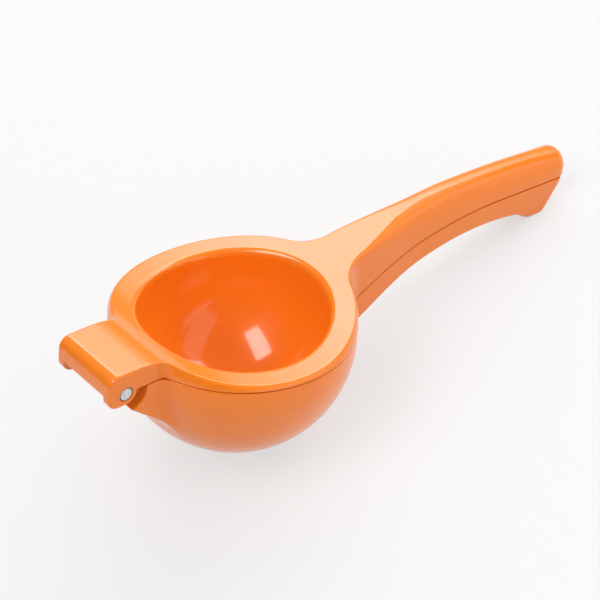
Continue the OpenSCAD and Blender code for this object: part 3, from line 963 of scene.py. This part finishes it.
class PRESS_OT_hinge_pin(bpy.types.Operator):
    """Builds the steel pin that the two levers turn on"""

    bl_idname = "press.hinge_pin"
    bl_label = "Hinge pin"

    def execute(self, context):
        sizes = context.scene.press_pin
        obj = bpy.data.objects.new("pin_rod", bpy.data.meshes.new("pin_rod"))
        context.scene.collection.objects.link(obj)
        run_tree(obj, pin_tree(), {
            "Length": sizes.length, "Diameter": sizes.diameter, "End radius": sizes.edge,
            "Centre": tuple(PIN_AT * MM), "Material": steel_material()})
        obj.data.shade_smooth()
        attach(obj, "upper")
        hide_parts("hinge_pin")
        return {"FINISHED"}


def enamel(context):
    """The one enamel that both castings share."""
    return bpy.data.materials.get("orange_enamel") or enamel_material(context.scene.press_enamel)


def soft_panel(name, place, aim, width, height, glow):
    """A rectangular light whose face has the given brightness."""
    data = bpy.data.lights.new(name, "AREA")
    data.shape = "RECTANGLE"
    data.size, data.size_y = width, height
    data.energy = glow * math.pi * width * height
    obj = bpy.data.objects.new(name, data)
    obj.location = place
    obj.rotation_euler = (Vector(aim) - Vector(place)).to_track_quat("-Z", "Y").to_euler()
    obj.visible_camera = False
    bpy.context.scene.collection.objects.link(obj)
    return obj


def studio_lights(look):
    """A bank behind the press that brightens upwards, soft boxes above it and cards in front."""
    aim = Vector((0.0, 0.0, 0.04))
    # the bank's strips stand over one another, each a few degrees high as the press
    # sees it, and gain brightness from the dark angle to the full one
    turn, away, width = math.radians(30), 1.4, 2.6
    strips, lowest, rise = 8, 12, 4.75
    dark, full, gain = 10, 43, 1.5
    for i in range(strips):
        low, high = lowest + rise * i, lowest + rise + rise * i
        share = min(1, (((low + high) / 2 - dark) / (full - dark)) ** gain)
        z0, z1 = (aim.z + away * math.tan(math.radians(a)) for a in (low, high))
        middle = Vector((away * math.cos(turn), away * math.sin(turn), (z0 + z1) / 2))
        soft_panel("bank_%d" % i, middle, (0, 0, middle.z), width, z1 - z0, look.bank_glow * share)
    # the box gives the gloss its bright patch, and the key gives the colour its light
    box = soft_panel("top_box", (-0.53, 0.22, 1.4), aim, 1.06, 0.5, look.top_glow)
    box.visible_diffuse = False
    key = soft_panel("key", (-0.75, 0.0, 1.34), aim, 0.8, 1.0, look.key_glow)
    key.visible_glossy = False
    soft_panel("front_card", (0.69, -0.98, 0.94), aim, 1.9, 0.68, look.card_glow)
    soft_panel("fill", (0.4, -1.42, 0.35), (0, 0, 0.35), 2.6, 0.6, look.fill_glow)


def camera_place():
    """Where the photo was taken from, as a position and the camera's own axes."""
    az, el, roll = (math.radians(v) for v in CAMERA_TURN)
    back = np.array([math.sin(az) * math.cos(el), -math.cos(az) * math.cos(el), math.sin(el)])
    level = np.array([math.cos(az), math.sin(az), 0])
    up = np.cross(back, level)
    right = level * math.cos(roll) + up * math.sin(roll)
    up = up * math.cos(roll) - level * math.sin(roll)
    place = sum(far * axis for far, axis in zip(CAMERA_PLACE, (right, up, back)))
    return lay_down(place[None])[0] * MM, turn_down(np.stack([right, up, back]))


class PRESS_OT_studio(bpy.types.Operator):
    """Sets up the floor, the lights and the camera"""

    bl_idname = "press.studio"
    bl_label = "Studio"

    def execute(self, context):
        scene = context.scene
        look = scene.press_studio
        world = bpy.data.worlds.new("studio")
        scene.world = world
        world.use_nodes = True
        t = world.node_tree
        t.nodes.clear()
        rays = t.nodes.new("ShaderNodeLightPath")
        seen = math_node(
            t, "MAXIMUM", rays.outputs["Is Camera Ray"], rays.outputs["Is Transmission Ray"])
        level = node(t, "ShaderNodeMapRange", {
            "Value": rays.outputs["Is Glossy Ray"], "To Min": look.sky, "To Max": look.shine})
        level = node(t, "ShaderNodeMapRange", {"Value": seen, "To Min": level.outputs[0], "To Max": 1.0})
        back = node(t, "ShaderNodeBackground", {"Color": (1, 1, 1, 1), "Strength": level.outputs[0]})
        out = t.nodes.new("ShaderNodeOutputWorld")
        t.links.new(back.outputs[0], out.inputs["Surface"])

        reach = 3.0
        corners = [[-reach, -reach, 0], [reach, -reach, 0], [reach, reach, 0], [-reach, reach, 0]]
        floor = mesh_object("floor", np.array(corners), np.array([[0, 1, 2, 3]]))
        floor.data.materials.append(paper_material(look.floor_glow))

        studio_lights(look)

        data = bpy.data.cameras.new("camera")
        data.lens, data.sensor_width = CAMERA_LENS, CAMERA_SENSOR
        data.clip_start = 0.05
        cam = bpy.data.objects.new("camera", data)
        scene.collection.objects.link(cam)
        place, axes = camera_place()
        turn = Matrix([Vector(v) for v in axes]).transposed().to_4x4()
        cam.matrix_world = Matrix.Translation(Vector(place)) @ turn
        scene.camera = cam
        scene.view_settings.view_transform = "Standard"
        return {"FINISHED"}


class PRESS_PT_panel(bpy.types.Panel):
    """Lists the press's sizes, finishes and building steps"""

    bl_idname = "PRESS_PT_panel"
    bl_label = "Citrus Press"
    bl_space_type = "VIEW_3D"
    bl_region_type = "UI"
    bl_category = "Citrus Press"

    def draw(self, context):
        for name, kind in GROUPS.items():
            box = self.layout.box()
            for key in kind.__annotations__:
                box.prop(getattr(context.scene, name), key)
        for step in STEPS:
            self.layout.operator(step.bl_idname)


STEPS = (PRESS_OT_upper_lever, PRESS_OT_lower_lever, PRESS_OT_hinge_pin, PRESS_OT_studio)
GROUPS = {
    "press_levers": LeverSizes,
    "press_drain": DrainSizes,
    "press_pin": PinSizes,
    "press_enamel": EnamelLook,
    "press_studio": StudioLook,
}


def register():
    """Makes the settings, operators and panel known to Blender."""
    for cls in (*GROUPS.values(), *STEPS, PRESS_PT_panel):
        bpy.utils.register_class(cls)
    for name, kind in GROUPS.items():
        setattr(bpy.types.Scene, name, bpy.props.PointerProperty(type=kind))


def unregister():
    """Takes the settings, operators and panel away again."""
    for name in GROUPS:
        delattr(bpy.types.Scene, name)
    for cls in (PRESS_PT_panel, *reversed(STEPS), *reversed(tuple(GROUPS.values()))):
        bpy.utils.unregister_class(cls)


def main():
    """Builds the press and its studio."""
    register()
    for step in STEPS:
        getattr(bpy.ops.press, step.bl_idname.split(".")[1])()


if __name__ == "__main__":
    main()
